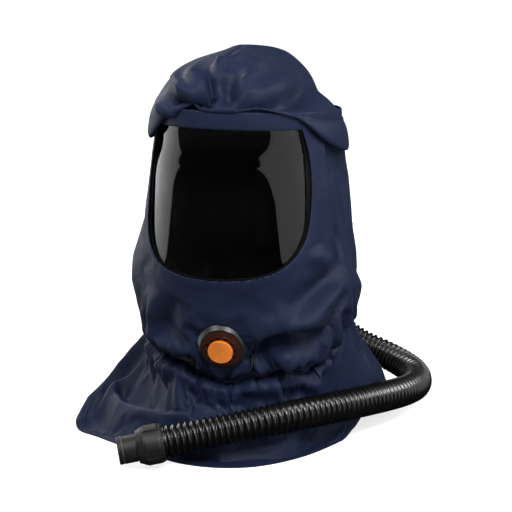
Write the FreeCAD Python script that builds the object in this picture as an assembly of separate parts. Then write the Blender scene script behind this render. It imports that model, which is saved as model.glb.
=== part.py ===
"""Powered air respirator: a loose-fitting hood with visor, exhalation valve, head harness,
air inlet and breathing hose.

Millimetres, +Z up, visor facing -Y. The cape lies on the floor at z = 0. Everything is drawn
about the upright axis of the hood, then moved so that the origin is the centre of the base.
"""
import FreeCAD, Part
import math
import os

Vector = FreeCAD.Vector
UP = Vector(0, 0, 1)

# Fabric
FABRIC = 3.0                # wall of a fabric panel, with its lining and air
SEAM_Y = 30.0               # side seams: the front panels end here
RING_POINTS = 24

# Hood wall, neck to brow: height, half width, half depth, sideways shift, rise per mm of y
NECK_LEVEL = (112.0, 108.0, 106.0, 0.0, 0.20)
BROW_LEVEL = (370.0, 103.0, 137.0, 0.0, -0.10)
HOOD_LEVELS = [
    NECK_LEVEL,
    (132.0, 119.0, 113.5, 0.0, 0.18),
    (165.0, 132.0, 130.0, 0.0, 0.10),
    (200.0, 132.0, 142.0, 0.0, 0.0),
    (240.0, 126.0, 142.0, 0.0, 0.0),
    (290.0, 117.0, 140.0, 0.0, -0.03),
    (330.0, 110.0, 138.5, 0.0, -0.07),
    BROW_LEVEL,
]
BAND_HEIGHT = 18.0
BAND_PROUD = 2.0
CROWN_LEVELS = [
    (388.0, 105.0, 139.0, 0.0, -0.10),
    (397.0, 113.0, 142.0, -1.0, -0.09),
    (411.0, 107.0, 136.0, -6.0, -0.06),
    (426.0, 94.0, 122.0, -11.0, -0.04),
    (440.0, 76.0, 100.0, -15.0, -0.02),
    (451.0, 54.0, 70.0, -17.0, 0.0),
    (458.5, 22.0, 28.0, -18.0, 0.0),
]

# Neck casing and its elastic
CASING_HEIGHT = 16.0
CASING_DEPTH = 6.0
CASING_SKIN = 1.4
ELASTIC_GAP = 0.3

# Cape: hem corners on the floor, counter-clockwise from the right, and its flare
HEM_POINTS = [
    (150, 40), (152, 105), (126, 160), (70, 184), (0, 190), (-80, 182), (-150, 140),
    (-178, 60), (-186, -20), (-193, -86), (-150, -111), (-95, -135), (-20, -159),
    (45, -146), (90, -106), (124, -34),
]
HEM_WIDTH = 10.0
HEM_HEIGHT = 4.0
CAPE_LEVELS = [(7.0, 0.72), (13.0, 0.40), (28.0, 0.10), (60.0, -0.02)]
CAPE_WALL = 2.6

# Visor
VISOR_THICKNESS = 1.0
VISOR_INSET = 1.2
VISOR_SHIFT_X = 6.0
WINDOW_CENTRE_Z = 300.0
WINDOW_TOP = 440.0
WINDOW_HALF = [(80.0, 388.0), (90.0, 340.0), (94.0, 292.0), (91.0, 252.0), (73.0, 225.0), (40.0, 214.5)]
WINDOW_BOTTOM = 212.0
BINDING_WIDTH = 5.0
BINDING_INSETS = (0.2, 2.8)

# Exhalation valve, drawn along its own axis with 0 at the outside of the fabric
VALVE_CENTRE = Vector(10.0, -122.5, 134.0)
VALVE_PITCH = 15.0
VALVE_YAW = 9.0
VALVE_NECK_R = 20.3
VALVE_BORE_R = 17.5
VALVE_PATCH_R = 31.0
PATCH_DEPTH = 7.0
VALVE_FLANGE_R = 27.0
BEZEL_R = 28.5
BEZEL_HEIGHT = 7.0
BEZEL_RIM = 2.4
BEZEL_FACE_R = 24.6
COVER_R = 22.5
COVER_STEP_R = 19.0
CAP_R = 14.25
MEMBRANE_R = 16.3
STEM_R = 1.6
STEM_CLEARANCE = 0.05
GAP = 0.3                   # between pieces that do not touch

# Head harness, drawn about its own centre and then tilted, rear lower
HARNESS_Z = 366.0
HARNESS_TILT = -10.0
BAND_R = 77.8
BAND_WALL = 1.8
BAND_OFFSET = 20.0          # front and rear arc centres stand this far from the middle
HARNESS_BAND_HALF = 10.0
BAND_END_ANGLE = 48.0       # where the fixed band ends on the rear arc
STRAP_WALL = 1.5
STRAP_RIGHT_R = 78.2
STRAP_LEFT_R = 80.0
STRAP_HALF = 11.0
STRAP_START = 30.0
STRAP_END = 115.0
SLOT_ANGLES = (71.0, 109.0)
SLOT_PLAIN = 7.7
RATCHET_HALF = 23.0
COVER_HALF = 17.0
RATCHET_CORNER_R = 8.0
RATCHET_DEPTH = 10.0
RATCHET_COVER_AT = 71.5     # inner face of the ratchet's cover, from the rear arc's centre
RATCHET_COVER_WALL = 3.0
POST_X = 12.0
POST_Z = 14.2
POST_R = 2.2
SHAFT_R = 4.0
PINION_STUB_R = 3.0
TOOTH_MODULE = 1.2
PINION_TEETH = 10
RACK_TEETH = 13
KNOB_R = 18.0
KNOB_LENGTH = 11.5
KNOB_GROOVES = 24

# Air inlet on the back panel
INLET_Z = 225.0
INLET_Y = 142.0
PIPE_R = 21.0
PIPE_BORE_R = 18.0
INLET_PATCH_R = 32.0
FLANGE_R = 28.0
FLANGE_WALL = 2.5
ELBOW_CORNER_Y = 180.0
ELBOW_TANGENT = 30.0
SOCKET_R = 24.0
SOCKET_BORE_R = 20.2
SOCKET_LENGTH = 20.0
CUFF_R = 19.9
DUCT_WIDTH = 60.0
DUCT_DEPTH = 20.0
DUCT_HEIGHT = 118.0
DUCT_FOOT = 194.0
DUCT_WALL = 2.0
DIFFUSER_FOOT = 300.0
DIFFUSER_HEIGHT = 8.0

# Breathing hose
HOSE_R = 18.5
HOSE_BORE_R = 16.5
RUN_SHARE = 0.45            # part of the shorter run that an arc takes
HOSE_ROUTE = [
    (10, 184, 178), (19, 187.6, 135.7), (35, 190, 90), (76, 196, 55), (120, 199, 39), (162, 174, 30),
    (179, 130, 29), (177, 84, 34), (161, 30, 41), (124, -46, 49), (68, -116, 50), (-4, -151, 36),
    (-44, -171, 29),
]
NUT_R = 23.4
NUT_LENGTH = 30.0
SPIGOT_R = 16.0
SPIGOT_BORE_R = 13.4
SPIGOT_END = 52.0
GROOVE_AT = 46.5


def vector(point):
    return Vector(*point)


def smooth_wire(points):
    curve = Part.BSplineCurve()
    curve.interpolate(points, PeriodicFlag=True)
    return Part.Wire(curve.toShape())


def ring(level, inset=0.0):
    """Closed wire round the hood at one level, moved inwards by inset."""
    height, half_width, half_depth, shift, rise = level
    points = []
    for step in range(RING_POINTS):
        angle = 2 * math.pi * step / RING_POINTS
        x = shift + (half_width - inset) * math.cos(angle)
        y = (half_depth - inset) * math.sin(angle)
        points.append(Vector(x, y, height + rise * y))
    return smooth_wire(points)


def skin(levels, inset):
    """Open side surface through the rings of all levels."""
    return Part.makeLoft([ring(level, inset) for level in levels], False).Faces


def closed(faces):
    """Solid inside a watertight set of faces."""
    shell = Part.makeShell(faces)
    shell.sewShape()
    return Part.Solid(Part.Shell(shell.Faces))


def rim_face(level, outer, inner):
    """Flat ring between two insets at one level."""
    return Part.Face(ring(level, outer)).cut(Part.Face(ring(level, inner))).Faces


def wall(levels, outer=0.0, inner=FABRIC):
    """Open tube between two insets of the same lofted surface."""
    rims = rim_face(levels[0], outer, inner) + rim_face(levels[-1], outer, inner)
    return closed(skin(levels, outer) + skin(levels, inner) + rims)


def tube(outer, inner, start, length):
    """Ring along +Z."""
    solid = Part.makeCylinder(outer, length, Vector(0, 0, start))
    return solid.cut(Part.makeCylinder(inner, length + 2, Vector(0, 0, start - 1)))


def revolved(profile):
    """Solid of revolution about +Z from (radius, height) points."""
    points = [Vector(radius, 0, height) for radius, height in profile]
    face = Part.Face(Part.makePolygon(points + points[:1]))
    return face.revolve(Vector(), UP, 360)


def half_space(front):
    """The space in front of the side seams, or behind them."""
    reach = 400.0
    start = SEAM_Y - reach if front else SEAM_Y
    return Part.makeBox(2 * reach, reach, 2 * reach, Vector(-reach, start, -reach))


def fused(shapes):
    return shapes[0].multiFuse(shapes[1:]).removeSplitter()


# ---------------------------------------------------------------- fabric hood

def window(margin):
    """Prism through the front of the hood, the visor's opening grown by margin."""
    right = []
    for half_width, height in WINDOW_HALF + [(0.0, WINDOW_BOTTOM)]:
        away = Vector(half_width, 0, height - WINDOW_CENTRE_Z).normalize()
        right.append(Vector(half_width, 0, height) + away * margin)
    left = [Vector(-point.x, 0, point.z) for point in reversed(right[:-1])]
    curve = Part.BSplineCurve()
    curve.interpolate(right + left)
    top_left = Vector(left[-1].x, 0, WINDOW_TOP)
    top_right = Vector(right[0].x, 0, WINDOW_TOP)
    top = Part.makePolygon([left[-1], top_left, top_right, right[0]])
    outline = Part.Wire([curve.toShape()] + top.Edges)
    outline.translate(Vector(VISOR_SHIFT_X, -200, 0))
    return Part.Face(outline).extrude(Vector(0, 180, 0))


def valve_place(shape):
    """Move a valve piece from its own axis to the front of the neck."""
    pitch = math.radians(VALVE_PITCH)
    yaw = math.radians(VALVE_YAW)
    axis = Vector(math.sin(yaw) * math.cos(pitch), -math.cos(yaw) * math.cos(pitch), -math.sin(pitch))
    shape.Placement = FreeCAD.Placement(VALVE_CENTRE, FreeCAD.Rotation(UP, axis))
    return shape


def inlet_place(shape):
    """Move an inlet piece from its own axis to the back of the hood."""
    shape.Placement = FreeCAD.Placement(Vector(0, INLET_Y, INLET_Z), FreeCAD.Rotation(UP, Vector(0, 1, 0)))
    return shape


def flat_patch(panel, place, patch_r, hole_r):
    """Set a flat round patch with a hole in a curved panel."""
    opening = place(Part.makeCylinder(patch_r - 1.5, 60, Vector(0, 0, -30)))
    patch = place(tube(patch_r, hole_r, -PATCH_DEPTH, PATCH_DEPTH))
    return fused([panel.cut(opening), patch])


def hood_panels():
    body = wall(HOOD_LEVELS)
    face = body.common(half_space(True)).cut(window(0))
    back = body.common(half_space(False))
    band_levels = []
    for rise in (0.0, BAND_HEIGHT):
        band_levels.append((BROW_LEVEL[0] + rise,) + BROW_LEVEL[1:])
    crown = crown_dome()
    reach = 300.0
    left_half = Part.makeBox(reach, 2 * reach, reach, Vector(-reach, -reach, BROW_LEVEL[0]))
    right_half = Part.makeBox(reach, 2 * reach, reach, Vector(0, -reach, BROW_LEVEL[0]))
    return {
        "face_panel": flat_patch(face, valve_place, VALVE_PATCH_R, VALVE_NECK_R + 0.5),
        "back_panel": flat_patch(back, inlet_place, INLET_PATCH_R, PIPE_R + 0.5),
        "brow_band": wall(band_levels, -BAND_PROUD, FABRIC - BAND_PROUD),
        "crown_left": crown.common(left_half),
        "crown_right": crown.common(right_half),
    }


def crown_dome():
    """Hollow crown: the inside sinks from the base to the top by the wall's thickness."""
    last = len(CROWN_LEVELS) - 1
    inside = [(level[0] - FABRIC * step / last,) + level[1:] for step, level in enumerate(CROWN_LEVELS)]
    tops = Part.Face(ring(CROWN_LEVELS[-1])).Faces + Part.Face(ring(inside[-1], FABRIC)).Faces
    rim = rim_face(CROWN_LEVELS[0], 0.0, FABRIC)
    return closed(skin(CROWN_LEVELS, 0.0) + skin(inside, FABRIC) + rim + tops)


def visor_pieces():
    opening = window(-BINDING_WIDTH)
    sheet = wall(HOOD_LEVELS, VISOR_INSET, VISOR_INSET + VISOR_THICKNESS)
    strip = wall(HOOD_LEVELS, *BINDING_INSETS)
    return {
        "visor": sheet.common(opening),
        "visor_binding": strip.common(window(0)).cut(opening),
    }


def neck_pieces():
    low = (NECK_LEVEL[0] - CASING_HEIGHT,) + NECK_LEVEL[1:]
    channel = []
    band = []
    for height in (low[0] + CASING_SKIN, NECK_LEVEL[0] - CASING_SKIN):
        channel.append((height,) + NECK_LEVEL[1:])
    for height in (channel[0][0] + ELASTIC_GAP, channel[1][0] - ELASTIC_GAP):
        band.append((height,) + NECK_LEVEL[1:])
    casing = wall([low, NECK_LEVEL], 0.0, CASING_DEPTH)
    hollow = wall(channel, CASING_SKIN, CASING_DEPTH - CASING_SKIN)
    elastic = wall(band, CASING_SKIN + ELASTIC_GAP, CASING_DEPTH - CASING_SKIN - ELASTIC_GAP)
    return {"neck_casing": casing.cut(hollow), "neck_elastic": elastic}


def cape_ring(height, spread, inset, drop=0.0):
    """Wire between the neck and the hem: spread 0 at the neck, 1 at the hem."""
    neck_bottom = NECK_LEVEL[0] - CASING_HEIGHT
    rise = NECK_LEVEL[4] * (1 - spread) * height / neck_bottom
    points = []
    for x, y in HEM_POINTS:
        out = Vector(x, y, 0)
        angle = math.atan2(y / NECK_LEVEL[2], x / NECK_LEVEL[1])
        neck = Vector(NECK_LEVEL[1] * math.cos(angle), NECK_LEVEL[2] * math.sin(angle), 0)
        point = neck + (out - neck) * spread
        point -= Vector(point).normalize() * inset
        points.append(Vector(point.x, point.y, height + rise * point.y - drop))
    return smooth_wire(points)


def cape_wires(rim_height, inset):
    """Wires of one side of the cape, from the hem's inner edge up to the neck."""
    neck_bottom = NECK_LEVEL[0] - CASING_HEIGHT
    rim = cape_ring(rim_height, 1.0, HEM_WIDTH)
    middle = [cape_ring(height, spread, inset, inset) for height, spread in CAPE_LEVELS]
    return [rim] + middle + [cape_ring(neck_bottom, 0.0, inset)]


def cape_pieces():
    rim = Part.Face(cape_ring(0.0, 1.0, 0.0)).extrude(UP * HEM_HEIGHT)
    middle = Part.Face(cape_ring(-1.0, 1.0, HEM_WIDTH)).extrude(UP * 20)
    outside = cape_wires(HEM_HEIGHT, 0.0)
    inside = cape_wires(HEM_HEIGHT - CAPE_WALL, CAPE_WALL)
    faces = Part.makeLoft(outside, False).Faces + Part.makeLoft(inside, False).Faces
    faces += Part.makeLoft([outside[0], inside[0]], False, True).Faces
    faces += Part.Face(outside[-1]).cut(Part.Face(inside[-1])).Faces
    cloth = closed(faces)
    return {
        "cape_hem": rim.cut(middle),
        "cape_front": cloth.common(half_space(True)),
        "cape_back": cloth.common(half_space(False)),
    }


# ---------------------------------------------------------------- exhalation valve

def valve_pieces():
    seat_top = -PATCH_DEPTH - 1.5
    plate = Part.makeCylinder(VALVE_FLANGE_R, 3, Vector(0, 0, seat_top - 3))
    airways = tube(14.5, 4.5, seat_top - 4, 5)
    spokes = [Part.makeBox(30, 3, 3, Vector(-15, -1.5, seat_top - 3))]
    spokes.append(Part.makeBox(3, 30, 3, Vector(-1.5, -15, seat_top - 3)))
    seat = fused([plate.cut(airways.cut(spokes[0]).cut(spokes[1])),
                  tube(VALVE_NECK_R, VALVE_BORE_R, seat_top - 0.5, BEZEL_HEIGHT - seat_top + 0.5),
                  tube(16.0, 14.5, seat_top - 0.5, 1.5)])
    seat = seat.cut(Part.makeCylinder(STEM_R + STEM_CLEARANCE, 10, Vector(0, 0, seat_top - 6)))
    disc_bottom = seat_top + 1.1
    membrane = revolved([(0, disc_bottom + 0.8), (0, seat_top - 6.2), (1.0, seat_top - 6.2),
                         (2.4, seat_top - 4.6), (STEM_R, seat_top - 4.6), (STEM_R, disc_bottom),
                         (MEMBRANE_R, disc_bottom), (MEMBRANE_R, disc_bottom + 0.8)])
    inner = VALVE_NECK_R + GAP
    bezel = revolved([(inner, 0), (BEZEL_R, 0), (BEZEL_R, BEZEL_RIM), (BEZEL_FACE_R, BEZEL_HEIGHT),
                      (inner, BEZEL_HEIGHT)])
    base = BEZEL_HEIGHT + GAP
    skirt_r = VALVE_BORE_R - GAP
    cover = revolved([(skirt_r - 1.6, 1.0), (skirt_r, 1.0), (skirt_r, base), (COVER_R, base),
                      (COVER_R, base + 2.2), (COVER_STEP_R, base + 3.0), (COVER_STEP_R, base + 5.0),
                      (0, base + 5.0), (0, base + 3.0), (skirt_r - 1.6, base + 3.0)])
    slot = Part.makeBox(3.2, 2.4, 8, Vector(CAP_R + 0.4, -1.2, base - 1))
    for step in range(12):
        cutter = slot.copy()
        cutter.rotate(Vector(), UP, 30 * step + 15)
        cover = cover.cut(cutter)
    for side in (-1, 1):
        tick = Part.makeBox(2.6, 1.0, 0.7, Vector(side * 20.7 - 1.3, -0.5, base + 2.4))
        cover = cover.fuse(tick)
    cap = Part.makeCylinder(CAP_R, 3.2, Vector(0, 0, base + 5.0))
    cap = cap.makeFillet(0.9, [cap.Edges[0]])
    pieces = {
        "valve_gasket": tube(VALVE_FLANGE_R - 0.5, VALVE_NECK_R + 0.5, seat_top, 1.5),
        "valve_seat": seat,
        "valve_membrane": membrane,
        "valve_bezel": bezel,
        "valve_cover": cover,
        "valve_cap": cap,
    }
    return {name: valve_place(shape) for name, shape in pieces.items()}


# ---------------------------------------------------------------- head harness

def sector(outer, inner, start, end, half_height, centre_y=BAND_OFFSET):
    """Upright band along an arc, angles counter-clockwise from +X."""
    solids = []
    for radius in (outer, inner):
        cylinder = Part.makeCylinder(radius, 2 * half_height, Vector(0, 0, -half_height), UP, end - start)
        cylinder.rotate(Vector(), UP, start)
        cylinder.translate(Vector(0, centre_y, 0))
        solids.append(cylinder)
    return solids[0].cut(solids[1])


def rack_tooth(angle, radius, side):
    """One rack tooth pointing from the slot's edge towards the pinion."""
    pitch_r = TOOTH_MODULE * PINION_TEETH / 2
    root = pitch_r + 1.5 * TOOTH_MODULE
    tip = pitch_r - 0.85 * TOOTH_MODULE
    profile = [(-1.0, root), (1.0, root), (0.38, tip), (-0.38, tip)]
    points = [Vector(x, BAND_OFFSET + radius, side * z) for x, z in profile]
    face = Part.Face(Part.makePolygon(points + points[:1]))
    tooth = face.extrude(Vector(0, STRAP_WALL, 0))
    tooth.rotate(Vector(0, BAND_OFFSET, 0), UP, angle)
    return tooth


def nape_strap(radius, side):
    """Strap with a toothed slot; side 1 has its teeth on the upper edge of the slot."""
    strap = sector(radius + STRAP_WALL, radius, STRAP_START, STRAP_END, STRAP_HALF)
    toothed = TOOTH_MODULE * PINION_TEETH / 2 + 1.3 * TOOTH_MODULE
    slot = sector(radius + STRAP_WALL + 1, radius - 1, SLOT_ANGLES[0], SLOT_ANGLES[1],
                  (toothed + SLOT_PLAIN) / 2)
    slot.translate(Vector(0, 0, side * (toothed - SLOT_PLAIN) / 2))
    strap = strap.cut(slot)
    pitch_angle = math.degrees(math.pi * TOOTH_MODULE / (radius + STRAP_WALL / 2))
    for step in range(RACK_TEETH):
        angle = (step - (RACK_TEETH - 1) / 2) * pitch_angle
        if abs(angle) + 2 < (SLOT_ANGLES[1] - SLOT_ANGLES[0]) / 2:
            strap = strap.fuse(rack_tooth(angle, radius, side))
    return strap.removeSplitter()


def pinion():
    """Ten-tooth pinion along +Y; a space faces each rack at rest, over a tooth of the rack."""
    pitch_r = TOOTH_MODULE * PINION_TEETH / 2
    root = pitch_r - 1.1 * TOOTH_MODULE
    tip = pitch_r + 0.85 * TOOTH_MODULE
    start = BAND_OFFSET + STRAP_RIGHT_R - 0.6
    length = STRAP_LEFT_R + STRAP_WALL + 0.2 - STRAP_RIGHT_R + 0.6
    body = Part.makeCylinder(root, length, Vector(0, start, 0), Vector(0, 1, 0))
    for step in range(PINION_TEETH):
        profile = [(-1.05, root - 0.3), (1.05, root - 0.3), (0.62, pitch_r), (0.3, tip),
                   (-0.3, tip), (-0.62, pitch_r)]
        points = [Vector(x, start, z) for x, z in profile]
        tooth = Part.Face(Part.makePolygon(points + points[:1])).extrude(Vector(0, length, 0))
        tooth.rotate(Vector(), Vector(0, 1, 0), (step + 0.5) * 360 / PINION_TEETH)
        body = body.fuse(tooth)
    stub_start = BAND_OFFSET + RATCHET_COVER_AT + 0.5
    stub = Part.makeCylinder(PINION_STUB_R, start - stub_start, Vector(0, stub_start, 0), Vector(0, 1, 0))
    return body.fuse(stub).removeSplitter()


def arch(half_span, height, width, thickness, along_y):
    """Half-ellipse strap over the head."""
    halves = []
    for reach, top in ((half_span, height), (half_span - thickness, height - thickness)):
        curve = Part.Ellipse(Vector(), reach, top)
        arc = Part.ArcOfEllipse(curve, 0, math.pi).toShape()
        chord = Part.LineSegment(Vector(-reach, 0, 0), Vector(reach, 0, 0)).toShape()
        halves.append(Part.Face(Part.Wire([arc, chord])))
    band = halves[0].cut(halves[1]).extrude(Vector(0, 0, width))
    band.translate(Vector(0, 0, -width / 2))
    band.rotate(Vector(), Vector(1, 0, 0), 90)
    if along_y:
        band.rotate(Vector(), UP, 90)
    return band


def rounded_plate(start, depth):
    """Upright plate of the ratchet with rounded corners, from a start along +Y."""
    plate = Part.makeBox(2 * RATCHET_HALF, depth, 2 * COVER_HALF,
                         Vector(-RATCHET_HALF, start, -COVER_HALF))
    corners = [edge for edge in plate.Edges if abs(edge.tangentAt(0).y) > 0.9]
    return plate.makeFillet(RATCHET_CORNER_R, corners)


def rivet_places():
    """Points on the band and the outward direction of each rivet."""
    inner = BAND_R - BAND_WALL
    front = Vector(0, -BAND_OFFSET - inner, 3)
    return [(Vector(inner, 0, 3), Vector(1, 0, 0)), (Vector(-inner, 0, 3), Vector(-1, 0, 0)),
            (front, Vector(0, -1, 0))]


def harness_pieces():
    inner = BAND_R - BAND_WALL
    rear_right = sector(BAND_R, inner, 0, BAND_END_ANGLE, HARNESS_BAND_HALF)
    rear_left = sector(BAND_R, inner, 180 - BAND_END_ANGLE, 180, HARNESS_BAND_HALF)
    front = sector(BAND_R, inner, 180, 360, HARNESS_BAND_HALF, -BAND_OFFSET)
    sides = []
    for x in (inner, -BAND_R):
        sides.append(Part.makeBox(BAND_WALL, 2 * BAND_OFFSET, 2 * HARNESS_BAND_HALF,
                                  Vector(x, -BAND_OFFSET, -HARNESS_BAND_HALF)))
    headband = fused([front, rear_right, rear_left] + sides)
    side_strap = arch(inner - 0.2, 62.0, 18.0, 1.5, False)
    long_strap = arch(inner + BAND_OFFSET - 0.8, 65.0, 18.0, 1.5, True)
    cover_top = Part.makeBox(60, 40, 60, Vector(-30, BAND_OFFSET + 50, COVER_HALF - 60))
    long_strap = long_strap.cut(cover_top)
    pad = sector(inner - 4.8, inner - 8.8, 205, 335, 12.0, -BAND_OFFSET)
    rivets = []
    for point, out in rivet_places():
        hole = Part.makeCylinder(2.1, 8, point - out * 5, out)
        headband = headband.cut(hole)
        side_strap = side_strap.cut(hole)
        long_strap = long_strap.cut(hole)
        shank = Part.makeCylinder(2.0, 5.0, point - out * 3.0, out)
        head = Part.makeCylinder(3.6, 0.9, point + out * (BAND_WALL + 0.1), out)
        tail = Part.makeCylinder(3.2, 0.5, point - out * 3.5, out)
        rivets.append(fused([shank, head, tail]))
    knob_start = BAND_OFFSET + STRAP_LEFT_R + STRAP_WALL + 10.8
    rearward = Vector(0, 1, 0)
    housing_start = BAND_OFFSET + STRAP_LEFT_R + STRAP_WALL + 0.5
    cover_start = BAND_OFFSET + RATCHET_COVER_AT
    housing = rounded_plate(housing_start, RATCHET_DEPTH)
    cover = rounded_plate(cover_start, RATCHET_COVER_WALL)
    for x in (-POST_X, POST_X):
        for z in (-POST_Z, POST_Z):
            base = Vector(x, cover_start + RATCHET_COVER_WALL, z)
            housing = housing.fuse(Part.makeCylinder(POST_R, housing_start + 1 - base.y, base, rearward))
    housing = housing.cut(Part.makeCylinder(SHAFT_R + 0.05, 2 * RATCHET_DEPTH,
                                            Vector(0, housing_start - 2, 0), rearward))
    cover = cover.cut(Part.makeCylinder(PINION_STUB_R + 0.05, 3 * RATCHET_COVER_WALL + 1,
                                        Vector(0, cover_start - RATCHET_COVER_WALL, 0), rearward))
    knob = Part.makeCylinder(KNOB_R, KNOB_LENGTH, Vector(0, knob_start, 0), rearward)
    for step in range(KNOB_GROOVES):
        groove = Part.makeCylinder(1.3, KNOB_LENGTH + 2, Vector(KNOB_R + 0.5, knob_start - 1, 0), rearward)
        groove.rotate(Vector(), rearward, 360 * step / KNOB_GROOVES)
        knob = knob.cut(groove)
    shaft_start = BAND_OFFSET + STRAP_LEFT_R + STRAP_WALL + 0.2
    knob = knob.fuse(Part.makeCylinder(SHAFT_R, knob_start - shaft_start + 1,
                                       Vector(0, shaft_start, 0), rearward))
    left_strap = nape_strap(STRAP_LEFT_R, 1).mirror(Vector(), Vector(1, 0, 0))
    pieces = {
        "headband": headband,
        "sweatband": pad,
        "crown_strap_side": side_strap,
        "crown_strap_long": long_strap,
        "harness_rivets": Part.makeCompound(rivets),
        "nape_strap_right": nape_strap(STRAP_RIGHT_R, -1),
        "nape_strap_left": left_strap,
        "ratchet_housing": housing.removeSplitter(),
        "ratchet_cover": cover,
        "ratchet_pinion": pinion(),
        "ratchet_knob": knob.removeSplitter(),
    }
    tilt = FreeCAD.Placement(Vector(0, 0, HARNESS_Z), FreeCAD.Rotation(Vector(1, 0, 0), HARNESS_TILT))
    for shape in pieces.values():
        shape.Placement = tilt.multiply(shape.Placement)
    return pieces


# ---------------------------------------------------------------- hose and inlet

def route_path(points, share=RUN_SHARE):
    """Straight runs joined by tangent arcs, each as large as its two runs allow."""
    edges = []
    radii = []
    here = points[0]
    for before, corner, after in zip(points, points[1:], points[2:]):
        back = (before - corner).normalize()
        ahead = (after - corner).normalize()
        half_turn = (math.pi - back.getAngle(ahead)) / 2
        reach = share * min((before - corner).Length, (after - corner).Length)
        radius = reach / math.tan(half_turn)
        radii.append(radius)
        centre = corner + (back + ahead).normalize() * (radius / math.cos(half_turn))
        middle = centre + (corner - centre).normalize() * radius
        start = corner + back * reach
        end = corner + ahead * reach
        edges.append(Part.LineSegment(here, start).toShape())
        edges.append(Part.Arc(start, middle, end).toShape())
        here = end
    edges.append(Part.LineSegment(here, points[-1]).toShape())
    return Part.Wire(edges), radii


def pipe(path, start, direction, radius):
    circle = Part.Wire(Part.makeCircle(radius, start, direction))
    return path.makePipeShell([circle], True, False)


def hollow_pipe(path, start, direction, outer, inner):
    return pipe(path, start, direction, outer).cut(pipe(path, start, direction, inner))


def along(start, direction, shape):
    """Move a piece drawn along +Z to a start point and direction."""
    shape.Placement = FreeCAD.Placement(start, FreeCAD.Rotation(UP, direction))
    return shape


def hose_pieces():
    points = [vector(point) for point in HOSE_ROUTE]
    path, radii = route_path(points)
    first = (points[1] - points[0]).normalize()
    last = (points[-1] - points[-2]).normalize()
    hose = hollow_pipe(path, points[0], first, HOSE_R, HOSE_BORE_R)
    section = math.pi * (HOSE_R ** 2 - HOSE_BORE_R ** 2)
    print("hose length", round(path.Length, 1), "volume / (section x length)",
          round(hose.Volume / (section * path.Length), 4))
    print("hose radii", [round(radius, 1) for radius in radii])
    print("connector start", points[-1], "direction", last)
    groove_half = 0.9
    groove_r = 14.3
    spigot = revolved([
        (SPIGOT_BORE_R, 12.0), (19.5, 12.0), (19.5, 16.0), (15.5, 16.0), (15.5, NUT_LENGTH + 0.5),
        (SPIGOT_R, NUT_LENGTH + 0.5), (SPIGOT_R, GROOVE_AT - groove_half),
        (groove_r, GROOVE_AT - groove_half), (groove_r, GROOVE_AT + groove_half),
        (SPIGOT_R, GROOVE_AT + groove_half), (SPIGOT_R, SPIGOT_END - 0.8),
        (SPIGOT_R - 0.8, SPIGOT_END), (SPIGOT_BORE_R, SPIGOT_END)])
    pieces = {
        "hose_lower_cuff": tube(19.5, HOSE_BORE_R, 0.0, 12.0),
        "hose_spigot": spigot,
        "spigot_o_ring": Part.makeTorus(15.15, 0.8, Vector(0, 0, GROOVE_AT)),
        "coupling_nut": coupling_nut(),
    }
    placed = {name: along(points[-1], last, shape) for name, shape in pieces.items()}
    placed["breathing_hose"] = hose
    return placed


def coupling_nut():
    """Gripped nut that turns on the spigot's flange."""
    inner = 19.5 + GAP + 0.1
    lip = 15.5 + GAP + 0.1
    nut = revolved([(inner, GAP), (21.0, GAP), (22.0, 1.6), (22.0, 22.5), (21.0, 24.0), (18.2, NUT_LENGTH),
                    (lip, NUT_LENGTH), (lip, 16.6), (inner, 16.6)])
    flats = []
    for step in range(6):
        grip = revolved_sector(21.5, NUT_R, 3.0, 22.0, 34.0)
        grip.rotate(Vector(), UP, 60 * step)
        flats.append(grip)
    return fused([nut] + flats)


def revolved_sector(inner, outer, start, end, angle):
    """Raised grip with sloped ends on the nut's rim."""
    profile = [(inner, start), (outer - 0.6, start), (outer, start + 2.5), (outer, end - 1.5),
               (inner, end)]
    points = [Vector(radius, 0, height) for radius, height in profile]
    return Part.Face(Part.makePolygon(points + points[:1])).revolve(Vector(), UP, angle)


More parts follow.
